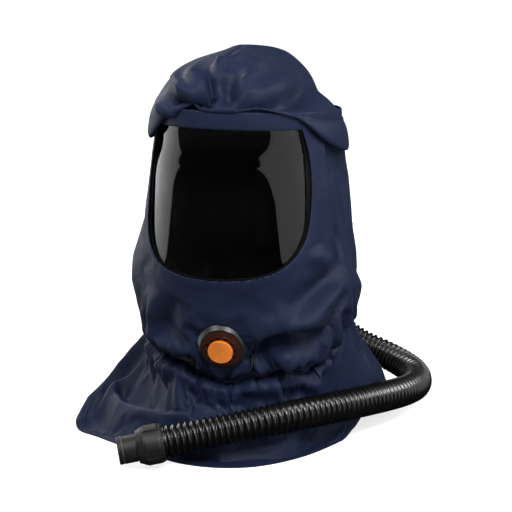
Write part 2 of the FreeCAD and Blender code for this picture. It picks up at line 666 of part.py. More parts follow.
def inlet_pieces():
    route = [vector(point) for point in HOSE_ROUTE]
    down = (route[1] - route[0]).normalize()
    corner = Vector(0, ELBOW_CORNER_Y, INLET_Z)
    flange_depth = PATCH_DEPTH + 1.5
    start = Vector(0, INLET_Y - flange_depth - FLANGE_WALL, INLET_Z)
    exit_point = route[0]
    run = (exit_point - corner).normalize()
    back = (start - corner).normalize()
    half_turn = (math.pi - back.getAngle(run)) / 2
    radius = ELBOW_TANGENT / math.tan(half_turn)
    centre = corner + (back + run).normalize() * (radius / math.cos(half_turn))
    middle = centre + (corner - centre).normalize() * radius
    mouth = exit_point - run * (SOCKET_LENGTH - 4)
    path = Part.Wire([
        Part.LineSegment(start, corner + back * ELBOW_TANGENT).toShape(),
        Part.Arc(corner + back * ELBOW_TANGENT, middle, corner + run * ELBOW_TANGENT).toShape()])
    print("elbow radius", round(radius, 1), "run", round((exit_point - corner).Length, 1))
    print("bend of hose exit", round(math.degrees(run.getAngle(down)), 2))
    throat = corner + run * ELBOW_TANGENT
    solid = pipe(path, start, Vector(0, 1, 0), PIPE_R)
    flange = inlet_place(Part.makeCylinder(FLANGE_R, FLANGE_WALL, Vector(0, 0, -flange_depth - FLANGE_WALL)))
    neck = Part.makeCylinder(PIPE_R, (mouth - throat).Length, throat, run)
    socket = along(mouth - run * 3, run, revolved([
        (0, 0), (PIPE_R, 0), (SOCKET_R, 3), (SOCKET_R, SOCKET_LENGTH + 2), (0, SOCKET_LENGTH + 2)]))
    bore = pipe(path, start, Vector(0, 1, 0), PIPE_BORE_R)
    bore = bore.fuse(Part.makeCylinder(PIPE_BORE_R, (mouth - throat).Length + 6, throat, run))
    bore = bore.fuse(Part.makeCylinder(SOCKET_BORE_R, SOCKET_LENGTH + 10, mouth, run))
    elbow = fused([solid, flange, neck, socket]).cut(bore)
    cuff_length = (exit_point - mouth).Length - 0.3
    cuff = along(mouth + run * 0.3, run, tube(CUFF_R, HOSE_BORE_R, 0, cuff_length))
    return {
        "inlet_elbow": elbow.removeSplitter(),
        "inlet_gasket": inlet_place(tube(FLANGE_R - 0.5, PIPE_R + 0.5, -flange_depth, 1.5)),
        "inlet_lock_ring": inlet_place(lock_ring()),
        "hose_upper_cuff": cuff,
        "air_duct": air_duct(start.y),
        "air_diffuser": air_diffuser(start.y),
    }


def lock_ring():
    ring_body = revolved([(PIPE_R + GAP, 0.2), (30.0, 0.2), (30.0, 3.0), (27.5, 6.5), (PIPE_R + GAP, 6.5)])
    for step in range(12):
        notch = Part.makeCylinder(1.6, 10, Vector(30.6, 0, -1))
        notch.rotate(Vector(), UP, 30 * step)
        ring_body = ring_body.cut(notch)
    return ring_body


def air_duct(back_y):
    """Flat channel up the back of the head, open at the top."""
    front = back_y - 0.5 - DUCT_DEPTH
    outside = Part.makeBox(DUCT_WIDTH, DUCT_DEPTH, DUCT_HEIGHT, Vector(-DUCT_WIDTH / 2, front, DUCT_FOOT))
    inside = Part.makeBox(DUCT_WIDTH - 2 * DUCT_WALL, DUCT_DEPTH - 2 * DUCT_WALL, DUCT_HEIGHT,
                          Vector(DUCT_WALL - DUCT_WIDTH / 2, front + DUCT_WALL, DUCT_FOOT + DUCT_WALL))
    mouth = Part.makeCylinder(PIPE_BORE_R, 3 * DUCT_WALL, Vector(0, back_y - 2 * DUCT_WALL, INLET_Z),
                              Vector(0, 1, 0))
    return outside.cut(inside).cut(mouth)


def air_diffuser(back_y):
    """Foam block in the duct's mouth, a little clear of its walls."""
    margin = DUCT_WALL + 0.3
    width = DUCT_WIDTH - 2 * margin
    return Part.makeBox(width, DUCT_DEPTH - 2 * margin, DIFFUSER_HEIGHT,
                        Vector(-width / 2, back_y - 0.5 - DUCT_DEPTH + margin, DIFFUSER_FOOT))


# ---------------------------------------------------------------- assembly

def base_centre(pieces, left_out):
    """Middle of the footprint of everything but the hose and what is on it."""
    boxes = [shape.optimalBoundingBox() for name, shape in pieces.items() if name not in left_out]
    middle_x = (min(box.XMin for box in boxes) + max(box.XMax for box in boxes)) / 2
    middle_y = (min(box.YMin for box in boxes) + max(box.YMax for box in boxes)) / 2
    return Vector(middle_x, middle_y, 0)


def main():
    pieces = {}
    for group in (hood_panels, visor_pieces, neck_pieces, cape_pieces, valve_pieces, harness_pieces,
                  hose_pieces, inlet_pieces):
        pieces.update(group())
    on_the_hose = ("breathing_hose", "hose_lower_cuff", "hose_spigot", "spigot_o_ring", "coupling_nut",
                   "hose_upper_cuff")
    centre = base_centre(pieces, on_the_hose)
    print("base centre", centre)
    os.makedirs("parts", exist_ok=True)
    for name, shape in pieces.items():
        shape.translate(-centre)
        solids = len(shape.Solids)
        print(f"{name:18s} solids {solids} valid {shape.isValid()} volume {shape.Volume / 1000:.2f} cm3")
        shape.exportStep(f"parts/{name}.step")


main()
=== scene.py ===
"""Looks of the powered air respirator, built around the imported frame.

Lists of sizes are in millimetres, measured from the foot of the hood's upright axis, with the
visor facing -Y. spot() turns them into metres in the row frame.
"""

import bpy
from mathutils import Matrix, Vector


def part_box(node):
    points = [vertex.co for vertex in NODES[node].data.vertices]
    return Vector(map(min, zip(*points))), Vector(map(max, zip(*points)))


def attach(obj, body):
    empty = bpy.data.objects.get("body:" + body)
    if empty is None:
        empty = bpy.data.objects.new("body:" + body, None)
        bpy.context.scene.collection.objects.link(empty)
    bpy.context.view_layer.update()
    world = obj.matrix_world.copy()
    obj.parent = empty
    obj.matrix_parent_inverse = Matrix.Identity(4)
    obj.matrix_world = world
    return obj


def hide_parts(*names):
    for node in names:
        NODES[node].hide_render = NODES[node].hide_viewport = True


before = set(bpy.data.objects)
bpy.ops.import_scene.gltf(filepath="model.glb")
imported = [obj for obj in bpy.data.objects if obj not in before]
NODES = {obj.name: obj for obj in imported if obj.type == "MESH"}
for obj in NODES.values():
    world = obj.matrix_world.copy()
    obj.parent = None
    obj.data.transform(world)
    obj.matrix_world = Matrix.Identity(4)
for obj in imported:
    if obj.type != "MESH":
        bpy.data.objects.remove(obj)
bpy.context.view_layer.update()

import math

import bmesh
import bpy
import numpy as np
from mathutils import Vector

MM = 0.001
BODY = "hood"


def middle(node):
    """Centre of a node's box."""
    low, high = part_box(node)
    return (low + high) / 2


CASING = middle("neck_casing")
AXIS = Vector((CASING.x, CASING.y, 0.0))


def spot(x, y, z):
    """A point in hood millimetres as a row-frame vector in metres."""
    return AXIS + Vector((x, y, z)) * MM


# ---------------------------------------------------------------- camera, light, floor

CAMERA_AZIMUTH = math.radians(19.0)
CAMERA_ELEVATION = math.radians(14.0)
CAMERA_DISTANCE = 2.0
CAMERA_LENS = 115.3
CAMERA_CLIP = 400.0
LOOK_AT = spot(-9.0, 48.7, 196.5)
LIGHTS_AIM = spot(0, 0, 300)
# The floor, in metres from the scene's origin; it glows so that it stays pale under soft light
FLOOR_REACH = 300.0
FLOOR_COLOR = (0.35, 0.35, 0.35, 1)
FLOOR_ROUGHNESS = 0.9
FLOOR_GLOW = 0.72
FLOOR_DIM_WITHIN = 0.5
FLOOR_WHITE_BEYOND = 1.6


def facing(azimuth, elevation):
    """Unit vector towards an azimuth about the hood, 0 in front, and an elevation."""
    flat = math.cos(elevation)
    return Vector((math.sin(azimuth) * flat, -math.cos(azimuth) * flat, math.sin(elevation)))


def aimed(obj, place, target):
    """Put a camera or light at a place, looking at a target."""
    obj.location = place
    obj.rotation_euler = (target - place).to_track_quat("-Z", "Y").to_euler()
    bpy.context.collection.objects.link(obj)
    return obj


def make_camera():
    """Long lens, a little above the visor and to the wearer's left."""
    data = bpy.data.cameras.new("camera")
    data.lens = CAMERA_LENS
    data.clip_end = CAMERA_CLIP
    camera = bpy.data.objects.new("camera", data)
    away = facing(CAMERA_AZIMUTH, CAMERA_ELEVATION)
    aimed(camera, LOOK_AT + away * CAMERA_DISTANCE, LOOK_AT)
    bpy.context.scene.camera = camera


def softbox(name, azimuth, elevation, distance, width, height, brightness, turn=0.0):
    """Rectangular light; brightness is its radiance, so a larger box lights the hood more."""
    data = bpy.data.lights.new(name, "AREA")
    data.shape = "RECTANGLE"
    data.size = width
    data.size_y = height
    data.energy = brightness * math.pi * width * height
    light = bpy.data.objects.new(name, data)
    place = LIGHTS_AIM + facing(math.radians(azimuth), math.radians(elevation)) * distance
    aimed(light, place, LIGHTS_AIM)
    light.rotation_euler.rotate_axis("Z", math.radians(turn))
    return light


def make_stage():
    """Pale floor that whitens away from the hood, and a white sky that adds no soft light."""
    floor_mesh = bpy.data.meshes.new("floor")
    sheet = bmesh.new()
    corners = [(-FLOOR_REACH, -FLOOR_REACH), (FLOOR_REACH, -FLOOR_REACH),
               (FLOOR_REACH, FLOOR_REACH), (-FLOOR_REACH, FLOOR_REACH)]
    sheet.faces.new([sheet.verts.new((x, y, 0.0)) for x, y in corners])
    sheet.to_mesh(floor_mesh)
    floor = bpy.data.objects.new("floor", floor_mesh)
    bpy.context.collection.objects.link(floor)
    material = bpy.data.materials.new("floor")
    material.use_nodes = True
    shader = material.node_tree.nodes["Principled BSDF"]
    shader.inputs["Base Color"].default_value = FLOOR_COLOR
    shader.inputs["Roughness"].default_value = FLOOR_ROUGHNESS
    shader.inputs["Emission Color"].default_value = (1, 1, 1, 1)
    nodes, links = material.node_tree.nodes, material.node_tree.links
    place = nodes.new("ShaderNodeTexCoord")
    away = nodes.new("ShaderNodeVectorMath")
    away.operation = "LENGTH"
    glow = nodes.new("ShaderNodeMapRange")
    glow.inputs["From Min"].default_value = FLOOR_DIM_WITHIN
    glow.inputs["From Max"].default_value = FLOOR_WHITE_BEYOND
    glow.inputs["To Min"].default_value = FLOOR_GLOW
    glow.inputs["To Max"].default_value = 1.0
    links.new(place.outputs["Object"], away.inputs[0])
    links.new(away.outputs["Value"], glow.inputs["Value"])
    links.new(glow.outputs["Result"], shader.inputs["Emission Strength"])
    floor.data.materials.append(material)
    floor.visible_glossy = False
    world = bpy.data.worlds.new("studio")
    world.use_nodes = True
    background = world.node_tree.nodes["Background"]
    background.inputs["Color"].default_value = (1, 1, 1, 1)
    background.inputs["Strength"].default_value = 1.0
    bpy.context.scene.world = world
    world.cycles_visibility.diffuse = False
    world.cycles_visibility.glossy = False
    bpy.context.scene.view_settings.view_transform = "Standard"


make_camera()
make_stage()
# The two panels make the streaks on the visor; azimuth, elevation, distance, size, radiance, turn
softbox("panel_left", -103, 4, 1.8, 2.1, 1.7, 3.3, -30)
softbox("panel_right", 89, 16, 1.8, 2.4, 1.7, 3.2, 28)
softbox("front_left", -38, 45, 2.0, 0.8, 0.8, 22.0)
softbox("front_right", 38, 45, 2.0, 0.8, 0.8, 50.0)
softbox("rear_left", -130, 35, 2.0, 0.9, 1.4, 6.0)
softbox("rear_right", 125, 30, 2.0, 0.9, 1.4, 8.0)
softbox("top", 5, 82, 2.0, 1.7, 1.7, 1.2)


# ---------------------------------------------------------------- materials

NOISE_LOW, NOISE_HIGH = 0.3, 0.7
THREADS_PER_METRE = 2200
THREAD_WAVER = 0.6
SHEEN_TINT = (0.75, 0.8, 1.0, 1)


def material(name, color, roughness, **sockets):
    """A Principled material with constants on its sockets."""
    made = bpy.data.materials.new(name)
    made.use_nodes = True
    shader = made.node_tree.nodes["Principled BSDF"]
    shader.inputs["Base Color"].default_value = (*color, 1)
    shader.inputs["Roughness"].default_value = roughness
    for socket, value in sockets.items():
        shader.inputs[socket.replace("_", " ")].default_value = value
    return made


def noise(made, scale, detail):
    """Object-space noise node."""
    nodes, links = made.node_tree.nodes, made.node_tree.links
    place = nodes.new("ShaderNodeTexCoord")
    texture = nodes.new("ShaderNodeTexNoise")
    texture.inputs["Scale"].default_value = scale
    texture.inputs["Detail"].default_value = detail
    links.new(place.outputs["Object"], texture.inputs["Vector"])
    return texture.outputs["Fac"]


def mottle(made, value, socket, low, high):
    """Drive a shader socket between two values or colours by the middle range of a noise."""
    nodes, links = made.node_tree.nodes, made.node_tree.links
    shader = nodes["Principled BSDF"]
    if isinstance(low, tuple):
        ramp = nodes.new("ShaderNodeValToRGB")
        ramp.color_ramp.elements[0].position = NOISE_LOW
        ramp.color_ramp.elements[1].position = NOISE_HIGH
        ramp.color_ramp.elements[0].color = (*low, 1)
        ramp.color_ramp.elements[1].color = (*high, 1)
        links.new(value, ramp.inputs["Fac"])
        links.new(ramp.outputs["Color"], shader.inputs[socket])
    else:
        spread = nodes.new("ShaderNodeMapRange")
        spread.inputs["From Min"].default_value = NOISE_LOW
        spread.inputs["From Max"].default_value = NOISE_HIGH
        spread.inputs["To Min"].default_value = low
        spread.inputs["To Max"].default_value = high
        links.new(value, spread.inputs["Value"])
        links.new(spread.outputs["Result"], shader.inputs[socket])


def bumps(made, value, strength, distance):
    """Add a bump layer to the shader's normal."""
    nodes, links = made.node_tree.nodes, made.node_tree.links
    shader = nodes["Principled BSDF"]
    bump = nodes.new("ShaderNodeBump")
    bump.inputs["Strength"].default_value = strength
    bump.inputs["Distance"].default_value = distance
    before = shader.inputs["Normal"].links
    if before:
        links.new(before[0].from_socket, bump.inputs["Normal"])
    links.new(value, bump.inputs["Height"])
    links.new(bump.outputs["Normal"], shader.inputs["Normal"])


def weave(made):
    """Over-and-under height of a plain weave in object space."""
    nodes, links = made.node_tree.nodes, made.node_tree.links
    place = nodes.new("ShaderNodeTexCoord")
    waves = []
    for direction in ("X", "Y", "Z"):
        wave = nodes.new("ShaderNodeTexWave")
        wave.bands_direction = direction
        wave.inputs["Scale"].default_value = THREADS_PER_METRE / (2 * math.pi)
        wave.inputs["Distortion"].default_value = THREAD_WAVER
        links.new(place.outputs["Object"], wave.inputs["Vector"])
        waves.append(wave.outputs["Fac"])
    first = nodes.new("ShaderNodeMath")
    first.operation = "MULTIPLY"
    links.new(waves[0], first.inputs[0])
    links.new(waves[1], first.inputs[1])
    second = nodes.new("ShaderNodeMath")
    second.operation = "MULTIPLY_ADD"
    links.new(waves[2], second.inputs[0])
    second.inputs[1].default_value = 0.5
    links.new(first.outputs[0], second.inputs[2])
    return second.outputs[0]


def hood_fabric():
    """Dark blue coated cloth: close weave, a little mottled, nearly matt."""
    made = material("hood_fabric", (0.003, 0.0045, 0.0145), 0.55,
                    Specular_IOR_Level=0.06, Sheen_Weight=0.006, Sheen_Roughness=0.45)
    made.node_tree.nodes["Principled BSDF"].inputs["Sheen Tint"].default_value = SHEEN_TINT
    mottle(made, noise(made, 9, 4), "Base Color",
           (0.0029, 0.0048, 0.0138), (0.0038, 0.0063, 0.0176))
    mottle(made, noise(made, 60, 5), "Roughness", 0.50, 0.62)
    bumps(made, weave(made), 0.10, 0.0002)
    bumps(made, noise(made, 900, 2), 0.05, 0.0003)
    return made


def visor_glass():
    """Clear film with a dark grey tint that is painted shade for the unlit inside of the hood;
    its low IOR keeps the streaks no brighter than coated film shows them.
    """
    # the dark grey base colour, passed through by full transmission, is the painted shade
    made = material("visor_clear", (0.13, 0.13, 0.13), 0.02, Transmission_Weight=1.0, IOR=1.22)
    mottle(made, noise(made, 12, 2), "Roughness", 0.004, 0.012)
    return made


def inside_shade():
    """Coated inside of the hood, near-black as painted shade for its unlit inside."""
    made = material("hood_inside_shade", (0.006, 0.006, 0.008), 0.85, Specular_IOR_Level=0.1)
    mottle(made, noise(made, 30, 3), "Base Color", (0.005, 0.005, 0.007), (0.008, 0.008, 0.011))
    bumps(made, noise(made, 700, 2), 0.1, 0.0003)
    return made


def plastic(name, color, roughness, grain=0.08, grain_scale=1500, **sockets):
    """Moulded plastic, rubber, foam or tape: grain is the strength of its fine bumps."""
    made = material(name, color, roughness, **sockets)
    darker = tuple(c * 0.8 for c in color)
    lighter = tuple(c * 1.2 for c in color)
    mottle(made, noise(made, 40, 4), "Base Color", darker, lighter)
    mottle(made, noise(made, 70, 4), "Roughness", roughness * 0.85, min(1.0, roughness * 1.2))
    bumps(made, noise(made, grain_scale, 2), grain, 0.0002)
    return made


FABRIC = hood_fabric()
INSIDE_SHADE = inside_shade()
GLASS = visor_glass()
TRIM = plastic("black_trim", (0.0012, 0.0012, 0.0012), 0.85, Specular_IOR_Level=0.05)
ELASTIC = plastic("elastic", (0.01, 0.01, 0.012), 0.8)
VALVE_BLACK = plastic("valve_black", (0.006, 0.006, 0.0065), 0.36, 0.10,
                      Specular_IOR_Level=0.2)
AMBER = plastic("valve_amber", (0.015, 0.004, 0.002), 0.25, Specular_IOR_Level=0.25)
ORANGE = plastic("valve_orange", (0.26, 0.072, 0.009), 0.6, 0.5, 900,
                 Specular_IOR_Level=0.08)
RUBBER = plastic("soft_rubber", (0.02, 0.02, 0.02), 0.6)
HARNESS = plastic("harness_plastic", (0.02, 0.02, 0.022), 0.4)
FOAM = plastic("sweat_foam", (0.02, 0.02, 0.022), 0.9, 0.6, 500)
HOSE_BLACK = plastic("hose_black", (0.0015, 0.0015, 0.0015), 0.26, 0.04,
                     Specular_IOR_Level=0.25)
GREY = plastic("connector_grey", (0.0045, 0.0045, 0.0047), 0.46, 0.35, 2600,
               Specular_IOR_Level=0.14)
DUCT = plastic("duct_plastic", (0.02, 0.02, 0.023), 0.45)
DIFFUSER = plastic("diffuser_foam", (0.03, 0.03, 0.03), 0.95, 0.8, 400)
FINISH = {
    "visor": GLASS, "visor_binding": TRIM, "valve_gasket": RUBBER,
    "valve_seat": VALVE_BLACK, "valve_membrane": RUBBER, "valve_bezel": VALVE_BLACK,
    "valve_cover": AMBER, "valve_cap": ORANGE, "headband": HARNESS, "sweatband": FOAM,
    "crown_strap_side": HARNESS, "crown_strap_long": HARNESS, "harness_rivets": HARNESS,
    "nape_strap_right": HARNESS, "nape_strap_left": HARNESS, "ratchet_housing": VALVE_BLACK,
    "ratchet_cover": VALVE_BLACK, "ratchet_pinion": VALVE_BLACK, "ratchet_knob": VALVE_BLACK,
    "hose_lower_cuff": GREY, "hose_spigot": GREY, "spigot_o_ring": RUBBER, "coupling_nut": GREY,
    "inlet_elbow": GREY, "inlet_gasket": RUBBER, "inlet_lock_ring": GREY, "hose_upper_cuff": GREY,
    "air_duct": DUCT, "air_diffuser": DIFFUSER,
}


def paint_nodes():
    """Give each hard node of the frame its finish; their meshes stay as they are."""
    for name, finish in FINISH.items():
        mesh = NODES[name].data
        mesh.materials.clear()
        mesh.materials.append(finish)


paint_nodes()


def new_piece(name, points, faces, finish):
    """Mesh object in the row frame from points in metres."""
    mesh = bpy.data.meshes.new(name)
    mesh.from_pydata([tuple(p) for p in points], [], faces)
    mesh.materials.append(finish)
    mesh.polygons.foreach_set("use_smooth", [True] * len(mesh.polygons))
    mesh.update()
    obj = bpy.data.objects.new(name, mesh)
    bpy.context.collection.objects.link(obj)
    return obj


def ring_faces(rows, columns):
    """Quads of rings of points stored ring by ring."""
    faces = []
    for row in range(rows - 1):
        for column in range(columns):
            after = (column + 1) % columns
            low = row * columns
            high = low + columns
            faces.append((low + column, low + after, high + after, high + column))
    return faces


# ---------------------------------------------------------------- breathing hose

# Middle of the hose from the air inlet to the connector
HOSE_ROUTE = [
    (10, 184, 178), (19, 187.6, 135.7), (35, 190, 90), (76, 196, 55), (120, 199, 39),
    (162, 174, 30), (179, 130, 29), (177, 84, 34), (161, 30, 41), (124, -46, 49),
    (68, -116, 50), (-4, -151, 36), (-44, -171, 29),
]
# Metres: length, outer radius, depth of the valleys between ribs, distance from rib to rib
HOSE_RADIUS = 0.0185
HOSE_VALLEY = 0.0031
RIB_PITCH = 0.0073
RIB_STEPS = 10
RIB_FLATNESS = 0.55         # below 1 the ribs are broad and the valleys narrow
HOSE_SIDES = 72
ROUTE_STEPS = 40


def route_points(name, route):
    """Points along the smooth line of a route."""
    curve = bpy.data.curves.new(name, "CURVE")
    curve.dimensions = "3D"
    curve.resolution_u = ROUTE_STEPS
    spline = curve.splines.new("NURBS")
    spline.points.add(len(route) - 1)
    for point, place in zip(spline.points, route):
        point.co = (*spot(*place), 1)
    spline.order_u = 3
    spline.use_endpoint_u = True
    guide = bpy.data.objects.new(name, curve)
    bpy.context.collection.objects.link(guide)
    bpy.context.view_layer.update()
    line = bpy.data.meshes.new_from_object(guide)
    points = [vertex.co.copy() for vertex in line.vertices]
    bpy.data.objects.remove(guide)
    return points


def evenly(points, step):
    """Points at an even spacing along a line, with the direction at each."""
    places = np.array([tuple(p) for p in points])
    gaps = np.linalg.norm(np.diff(places, axis=0), axis=1)
    run = np.concatenate([[0.0], np.cumsum(gaps)])
    count = int(round(run[-1] / step)) + 1
    at = np.linspace(0.0, run[-1], count)
    centres = np.stack([np.interp(at, run, places[:, axis]) for axis in range(3)], axis=1)
    ahead = np.gradient(centres, axis=0)
    ahead /= np.linalg.norm(ahead, axis=1)[:, None]
    return at, centres, ahead


def tube_mesh(centres, ahead, radii, sides):
    """Rings of points round a line, turned as little as possible from ring to ring."""
    across = np.cross(ahead[0], (0.0, 0.0, 1.0))
    if np.linalg.norm(across) < 0.1:
        across = np.cross(ahead[0], (1.0, 0.0, 0.0))
    turns = np.linspace(0, 2 * math.pi, sides, endpoint=False)
    points = []
    for centre, direction, radius in zip(centres, ahead, radii):
        across = across - direction * across.dot(direction)
        across /= np.linalg.norm(across)
        other = np.cross(direction, across)
        circle = np.cos(turns)[:, None] * across + np.sin(turns)[:, None] * other
        points.extend(centre + circle * radius)
    return points


def make_hose():
    """Corrugated hose, with a plain half rib at each end."""
    guide = route_points("hose_guide", HOSE_ROUTE)
    at, centres, ahead = evenly(guide, RIB_PITCH / RIB_STEPS)
    phase = at / RIB_PITCH * 2 * math.pi
    rib = 0.5 + 0.5 * np.cos(phase)
    radii = HOSE_RADIUS - HOSE_VALLEY * (1 - rib ** RIB_FLATNESS)
    plain = np.minimum(at, at[-1] - at) < RIB_PITCH * 0.5
    radii[plain] = HOSE_RADIUS - HOSE_VALLEY * 0.5
    points = tube_mesh(centres, ahead, radii, HOSE_SIDES)
    faces = ring_faces(len(centres), HOSE_SIDES)
    piece = new_piece("corrugated_hose", points, faces, HOSE_BLACK)
    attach(piece, BODY)
    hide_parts("breathing_hose")


make_hose()


# ---------------------------------------------------------------- fabric: shapes

# Angles run round the hood in degrees, 0 at the front and positive on the wearer's left
FABRIC_THICK = 0.0011
ROUND = 360.0
MM_PER_DEGREE = 2.1         # along the cloth, for widths of folds on the hood
COLUMNS = 288
FINER = 2                   # rows and columns of the finished grid to one of the cage's
# Level, half width, half depth, rise per mm of y
WALL_LEVELS = [
    (112, 108, 106, 0.20), (132, 119, 113.5, 0.18), (165, 132, 130, 0.10), (200, 132, 142, 0.0),
    (240, 126, 142, 0.0), (290, 117, 140, -0.03), (330, 110, 138.5, -0.07),
    (370, 103, 137, -0.10), (388, 103, 137, -0.10),
]
# How far the flanks are drawn in, as shares of the half width: level, right share, left share
FLANK_PINCH = [
    (112, 0.055, 0.05), (132, 0.075, 0.07), (165, 0.083, 0.08), (200, 0.053, 0.10),
    (240, 0.04, 0.13), (270, 0.02, 0.11), (300, 0.02, 0.09), (330, 0.02, 0.08),
    (355, 0.02, 0.03), (388, 0.01, 0.01),
]
PINCH_POWER_FRONT = 12      # keeps the front clear of the pinch, round the visor
PINCH_POWER_BACK = 2
CASING_DEPTH = 9.0
# Level of the gathered neck at an angle
NECK_LEVELS = [
    (-180, 122), (-130, 127), (-90, 127), (-51, 124), (-31, 127), (-19, 121), (-8, 115),
    (8, 112), (25, 119), (36, 121), (52, 114), (64, 110), (74, 119), (84, 131), (110, 131),
    (145, 125),
]
# How steeply the cape falls from the neck at an angle; 1 is a cone
CAPE_SLOPES = [
    (-180, 1.9), (-145, 2.1), (-115, 1.6), (-93, 1.25), (-78, 1.6), (-60, 2.8), (-20, 3.4),
    (20, 3.6), (58, 3.4), (84, 1.7), (112, 1.15), (145, 1.3), (165, 1.8),
]
WALL_TOP = 384.0
HEM_LEVEL = 1.0
HEM_STEPS = 400
# The hem's outline on the floor
HEM_POINTS = [
    (141, 42), (152, 105), (126, 160), (70, 184), (0, 190), (-80, 182), (-150, 140),
    (-178, 60), (-186, -20), (-193, -86), (-150, -111), (-95, -135), (-20, -159),
    (45, -146), (93, -98), (124, -28),
]
# Half width of the visor's opening at a height, about a middle line shifted to the left
WINDOW_HALF = [
    (77.5, 388), (87.5, 340), (91.5, 292), (88.5, 253), (71.5, 227.5), (39.5, 217), (0, 214.5),
]
WINDOW_SHIFT = 6.0
WINDOW_TOP = 387
WINDOW_STEPS = 90
EDGE_LIFT = 3.0             # how far the cloth stands off the visor's binding
EDGE_LIFT_REACH = 10
CLOTH_MASS = 0.3
CLOTH_STIFFNESS = 15.0
CLOTH_BENDING = 3.0
CLOTH_FRAMES = 20


def smooth(keys, values, at, period=None):
    """Smooth cubic curve through values at keys; a period closes it round."""
    keys = np.asarray(keys, float)
    values = np.asarray(values, float)
    at = np.asarray(at, float)
    if period:
        keys = np.concatenate([keys[-2:] - period, keys, keys[:2] + period])
        values = np.concatenate([values[-2:], values, values[:2]])
        at = keys[2] + np.mod(at - keys[2], period)
    slopes = np.gradient(values, keys, axis=0)
    cell = np.clip(np.searchsorted(keys, at, side="right") - 1, 0, len(keys) - 2)
    gap = keys[cell + 1] - keys[cell]
    t = (at - keys[cell]) / gap
    t = np.clip(t, 0.0, 1.0)
    if values.ndim > 1:
        t = t[..., None]
        gap = gap[..., None]
    hold = 2 * t ** 3 - 3 * t ** 2 + 1
    leave = t ** 3 - 2 * t ** 2 + t
    arrive = t ** 3 - t ** 2
    start, stop = values[cell], values[cell + 1]
    leaving = leave * gap * slopes[cell]
    arriving = arrive * gap * slopes[cell + 1]
    return hold * start + leaving + (1 - hold) * stop + arriving


def sideways(angle):
    """Share of x at an angle."""
    return np.sin(np.radians(angle))


def forwards(angle):
    """Share of y at an angle, -1 in front."""
    return -np.cos(np.radians(angle))


def wall_sizes(level):
    """Half width, half depth and rise of the hood wall at a level."""
    table = np.array(WALL_LEVELS, float)
    return np.moveaxis(smooth(table[:, 0], table[:, 1:], level), -1, 0)


def wall_points(angle, level, grow=0.0):
    """Hood wall at an angle and a level; grow moves it outwards."""
    half_width, half_depth, rise = wall_sizes(level)
    pinch = np.array(FLANK_PINCH, float)
    right, left = np.moveaxis(smooth(pinch[:, 0], pinch[:, 1:], level), -1, 0)
    side = sideways(angle)
    drawn = np.where(forwards(angle) < 0, side ** PINCH_POWER_FRONT, side ** PINCH_POWER_BACK)
    x = (half_width + grow) * side * (1 - np.where(side > 0, left, right) * drawn)
    y = (half_depth + grow) * forwards(angle)
    return np.stack([x, y, level + rise * y], axis=-1)


def window_gap(x, z):
    """Distance outside the visor's opening, negative inside."""
    line = np.array(WINDOW_HALF, float)
    fine = smooth(np.arange(len(line)), line, np.linspace(0, len(line) - 1, WINDOW_STEPS))
    fine = fine[fine[:, 1] < WINDOW_TOP]
    reach = np.abs(np.asarray(x) - WINDOW_SHIFT)
    height = np.asarray(z)
    gap = np.hypot(reach[..., None] - fine[:, 0], height[..., None] - fine[:, 1]).min(axis=-1)
    edge = np.interp(z, fine[::-1, 1], fine[::-1, 0], left=0.0)
    inside = (reach < edge) & (z > WINDOW_HALF[-1][1])
    return np.where(inside, -gap, gap)


def push(across, along, folds, scale=(1.0, 1.0), period=None):
    """Sum of folds at points of a map: each is (path of (across, along, amount), width, lean,
    sharp). Lean widens one flank and narrows the other, and a sharp fold has a crest."""
    total = np.zeros(np.shape(across))
    for path, width, lean, sharp in folds:
        path = np.array(path, float)
        best = np.full(total.shape, 1e9)
        side = np.zeros(total.shape)
        amount = np.zeros(total.shape)
        for start, stop in zip(path[:-1], path[1:]):
            for turn in ((0.0,) if period is None else (-period, 0.0, period)):
                dx = (across - start[0] + turn) * scale[0]
                dy = (along - start[1]) * scale[1]
                sx = (stop[0] - start[0]) * scale[0]
                sy = (stop[1] - start[1]) * scale[1]
                share = np.clip((dx * sx + dy * sy) / (sx * sx + sy * sy), 0, 1)
                ox = dx - share * sx
                oy = dy - share * sy
                gap = np.hypot(ox, oy)
                nearer = gap < best
                best = np.where(nearer, gap, best)
                side = np.where(nearer, np.sign(ox * sy - oy * sx), side)
                amount = np.where(nearer, start[2] + share * (stop[2] - start[2]), amount)
        reach = width * (1 + lean * side)
        ratio = best / reach
        total += amount * (np.exp(-ratio) if sharp else np.exp(-ratio ** 2))
    return total


def outward(points):
    """Unit normals of a grid of points that closes round its columns."""
    around = np.roll(points, -1, axis=1) - np.roll(points, 1, axis=1)
    down = np.gradient(points, axis=0)
    normals = np.cross(down, around)
    return normals / np.maximum(np.linalg.norm(normals, axis=-1, keepdims=True), 1e-9)


def hem_radius(angle):
    """Reach of the hem from the axis at an angle."""
    hem = np.array(HEM_POINTS, float)
    angles = np.degrees(np.arctan2(hem[:, 0], -hem[:, 1]))
    order = np.argsort(angles)
    line = smooth(np.arange(len(hem)), hem[order], np.linspace(0, len(hem), HEM_STEPS),
                  period=len(hem))
    turns = np.degrees(np.arctan2(line[:, 0], -line[:, 1]))
    order = np.argsort(turns)
    return np.interp(angle, turns[order], np.hypot(*line[order].T), period=ROUND)


def neck_level(angle):
    """Level of the gathered neck at an angle."""
    table = np.array(NECK_LEVELS, float)
    return smooth(table[:, 0], table[:, 1], angle, period=ROUND)


def cape_points(angle, share):
    """Cape between the casing, share 0, and the hem, share 1."""
    neck = wall_points(angle, neck_level(angle))
    neck[..., 2] -= CASING_DEPTH
    bearing = np.degrees(np.arctan2(neck[..., 0], -neck[..., 1]))
    reach = np.hypot(neck[..., 0], neck[..., 1])
    wide = reach + (hem_radius(bearing) - reach) * share
    slopes = np.array(CAPE_SLOPES, float)
    steep = smooth(slopes[:, 0], slopes[:, 1], bearing, period=ROUND)
    height = HEM_LEVEL + (neck[..., 2] - HEM_LEVEL) * (1 - share) ** steep
    return np.stack([wide * sideways(bearing), wide * forwards(bearing), height], axis=-1)


